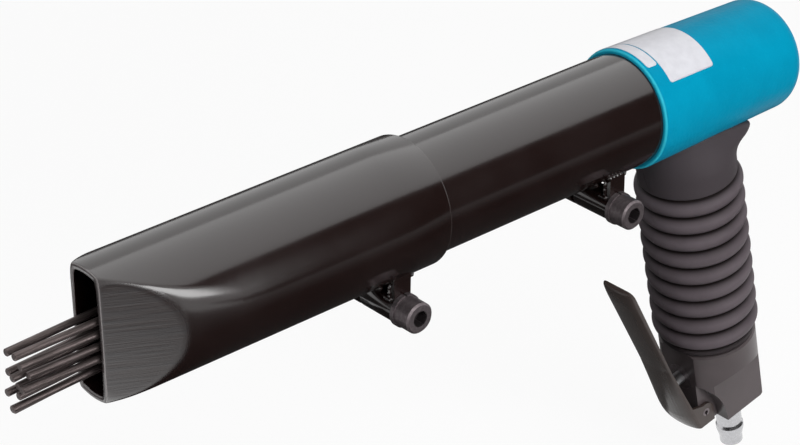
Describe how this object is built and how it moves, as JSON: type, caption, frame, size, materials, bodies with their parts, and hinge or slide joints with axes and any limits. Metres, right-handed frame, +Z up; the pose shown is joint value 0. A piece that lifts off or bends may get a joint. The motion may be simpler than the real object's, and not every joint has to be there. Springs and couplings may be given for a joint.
{
  "type": "pneumatic needle scaler",
  "caption": "Pistol-grip air needle scaler: painted hammer head, clamped barrel, sliding front tube with a flat nozzle, loose needles, ribbed rubber grip and sprung throttle lever.",
  "frame": {"origin": "centre of the head's flat rear face, on the barrel's axis", "axes": "+X rearward along the barrel (the nozzle is at -X), +Z up away from the handle, +Y to the far side of the clamp screws' heads"},
  "size_m": [0.3941, 0.057, 0.2283],
  "materials": {
    "turquoise_paint": "hammered turquoise enamel on a cast head",
    "black_enamel": "gloss black enamel",
    "black_oxide": "black oxide steel",
    "black_satin": "satin black coating",
    "black_anodised": "black anodised alloy",
    "bare_alloy": "turned alloy",
    "grip_rubber": "matt moulded rubber",
    "seal_rubber": "smooth black rubber",
    "zinc": "bright zinc plating",
    "needle_steel": "dark drawn steel",
    "ground_steel": "ground steel",
    "spring_steel": "bare spring steel",
    "bronze": "machined bronze"
  },
  "bodies": {
    "tool": {"head_housing": "turquoise_paint", "cylinder_liner": "ground_steel", "cylinder_o_ring": "seal_rubber", "valve_box": "ground_steel", "valve_cover": "ground_steel", "anvil_bush": "bronze", "buffer_ring": "seal_rubber", "return_spring": "spring_steel", "spring_seat": "ground_steel", "barrel_tube": "black_enamel", "barrel_clamp_screw": "black_oxide", "barrel_lock_washer": "black_oxide", "handle_tube": "bare_alloy", "handle_o_rings": "seal_rubber", "grip_sleeve": "grip_rubber", "valve_block": "black_anodised", "lever_pin": "black_oxide", "valve_bush": "bronze", "stem_o_ring": "seal_rubber", "valve_spring": "spring_steel", "inlet_strainer": "bronze", "air_nipple": "zinc", "nipple_seal": "seal_rubber"},
    "piston": {"piston": "ground_steel"},
    "valve_disc": {"valve_disc": "ground_steel"},
    "front_tube": {"front_tube": "black_enamel", "front_clamp_screw": "black_oxide", "front_lock_washer": "black_oxide"},
    "anvil": {"anvil": "ground_steel", "needle_holder": "ground_steel"},
    "lever": {"throttle_lever": "black_satin"},
    "stem": {"valve_stem": "ground_steel", "valve_seal": "seal_rubber"},
    "needle_1": {"needle_1": "needle_steel"},
    "needle_2": {"needle_2": "needle_steel"},
    "needle_3": {"needle_3": "needle_steel"},
    "needle_4": {"needle_4": "needle_steel"},
    "needle_5": {"needle_5": "needle_steel"},
    "needle_6": {"needle_6": "needle_steel"},
    "needle_7": {"needle_7": "needle_steel"},
    "needle_8": {"needle_8": "needle_steel"},
    "needle_9": {"needle_9": "needle_steel"},
    "needle_10": {"needle_10": "needle_steel"},
    "needle_11": {"needle_11": "needle_steel"},
    "needle_12": {"needle_12": "needle_steel"}
  },
  "joints": [
    {"name": "piston_slide", "type": "slide", "parent": "tool", "child": "piston", "axis": [-1, 0, 0], "range_m": [-0.0237, 0.0437]},
    {"name": "valve_disc_flutter", "type": "slide", "parent": "tool", "child": "valve_disc", "axis": [1, 0, 0], "range_m": [0, 0.0008]},
    {"name": "front_tube_slide", "type": "slide", "parent": "tool", "child": "front_tube", "axis": [1, 0, 0], "range_m": [-0.015, 0.035]},
    {"name": "anvil_slide", "type": "slide", "parent": "tool", "child": "anvil", "axis": [-1, 0, 0], "range_m": [0, 0.008], "stiffness_N_per_m": 1500, "springref_m": -0.02, "deforming": ["return_spring"]},
    {"name": "lever_hinge", "type": "hinge", "parent": "tool", "child": "lever", "pos_m": [-0.03656, 0, -0.16634], "axis": [0, 1, 0], "range_deg": [0, 12], "stiffness_Nm_per_rad": 1, "springref_deg": -11.46},
    {"name": "stem_slide", "type": "slide", "parent": "tool", "child": "stem", "axis": [0.9785, 0, 0.2062], "range_m": [0, 0.00425], "deforming": ["valve_spring"]},
    {"name": "needle_1_slide", "type": "slide", "parent": "anvil", "child": "needle_1", "axis": [-0.9998, 0.0114, -0.0188], "range_m": [-0.0061, 0.0012]},
    {"name": "needle_2_slide", "type": "slide", "parent": "anvil", "child": "needle_2", "axis": [-0.9999, 0.0115, -0.0112], "range_m": [-0.0041, 0.0032]},
    {"name": "needle_3_slide", "type": "slide", "parent": "anvil", "child": "needle_3", "axis": [-0.9999, 0.0117, -0.0035], "range_m": [-0.0011, 0.0062]},
    {"name": "needle_4_slide", "type": "slide", "parent": "anvil", "child": "needle_4", "axis": [-0.9999, 0.0115, 0.0043], "range_m": [-0.0041, 0.0032]},
    {"name": "needle_5_slide", "type": "slide", "parent": "anvil", "child": "needle_5", "axis": [-0.9966, 0, -0.0829], "range_m": [-0.0056, 0.0014]},
    {"name": "needle_6_slide", "type": "slide", "parent": "anvil", "child": "needle_6", "axis": [-0.9974, 0, -0.0717], "range_m": [-0.0034, 0.0036]},
    {"name": "needle_7_slide", "type": "slide", "parent": "anvil", "child": "needle_7", "axis": [-0.9982, 0, -0.0596], "range_m": [-0.0033, 0.0038]},
    {"name": "needle_8_slide", "type": "slide", "parent": "anvil", "child": "needle_8", "axis": [-0.9989, 0, -0.0467], "range_m": [-0.0062, 0.0009]},
    {"name": "needle_9_slide", "type": "slide", "parent": "anvil", "child": "needle_9", "axis": [-0.9993, -0.0115, -0.0352], "range_m": [-0.0042, 0.003]},
    {"name": "needle_10_slide", "type": "slide", "parent": "anvil", "child": "needle_10", "axis": [-0.9989, -0.0115, -0.0461], "range_m": [-0.0042, 0.0029]},
    {"name": "needle_11_slide", "type": "slide", "parent": "anvil", "child": "needle_11", "axis": [-0.9983, -0.0114, -0.0567], "range_m": [-0.0053, 0.0018]},
    {"name": "needle_12_slide", "type": "slide", "parent": "anvil", "child": "needle_12", "axis": [-0.9976, -0.0116, -0.0683], "range_m": [-0.0034, 0.0037]}
  ],
  "couplings": [
    {"joint": "stem_slide", "follows": "lever_hinge", "m_per_rad": 0.0201}
  ]
}
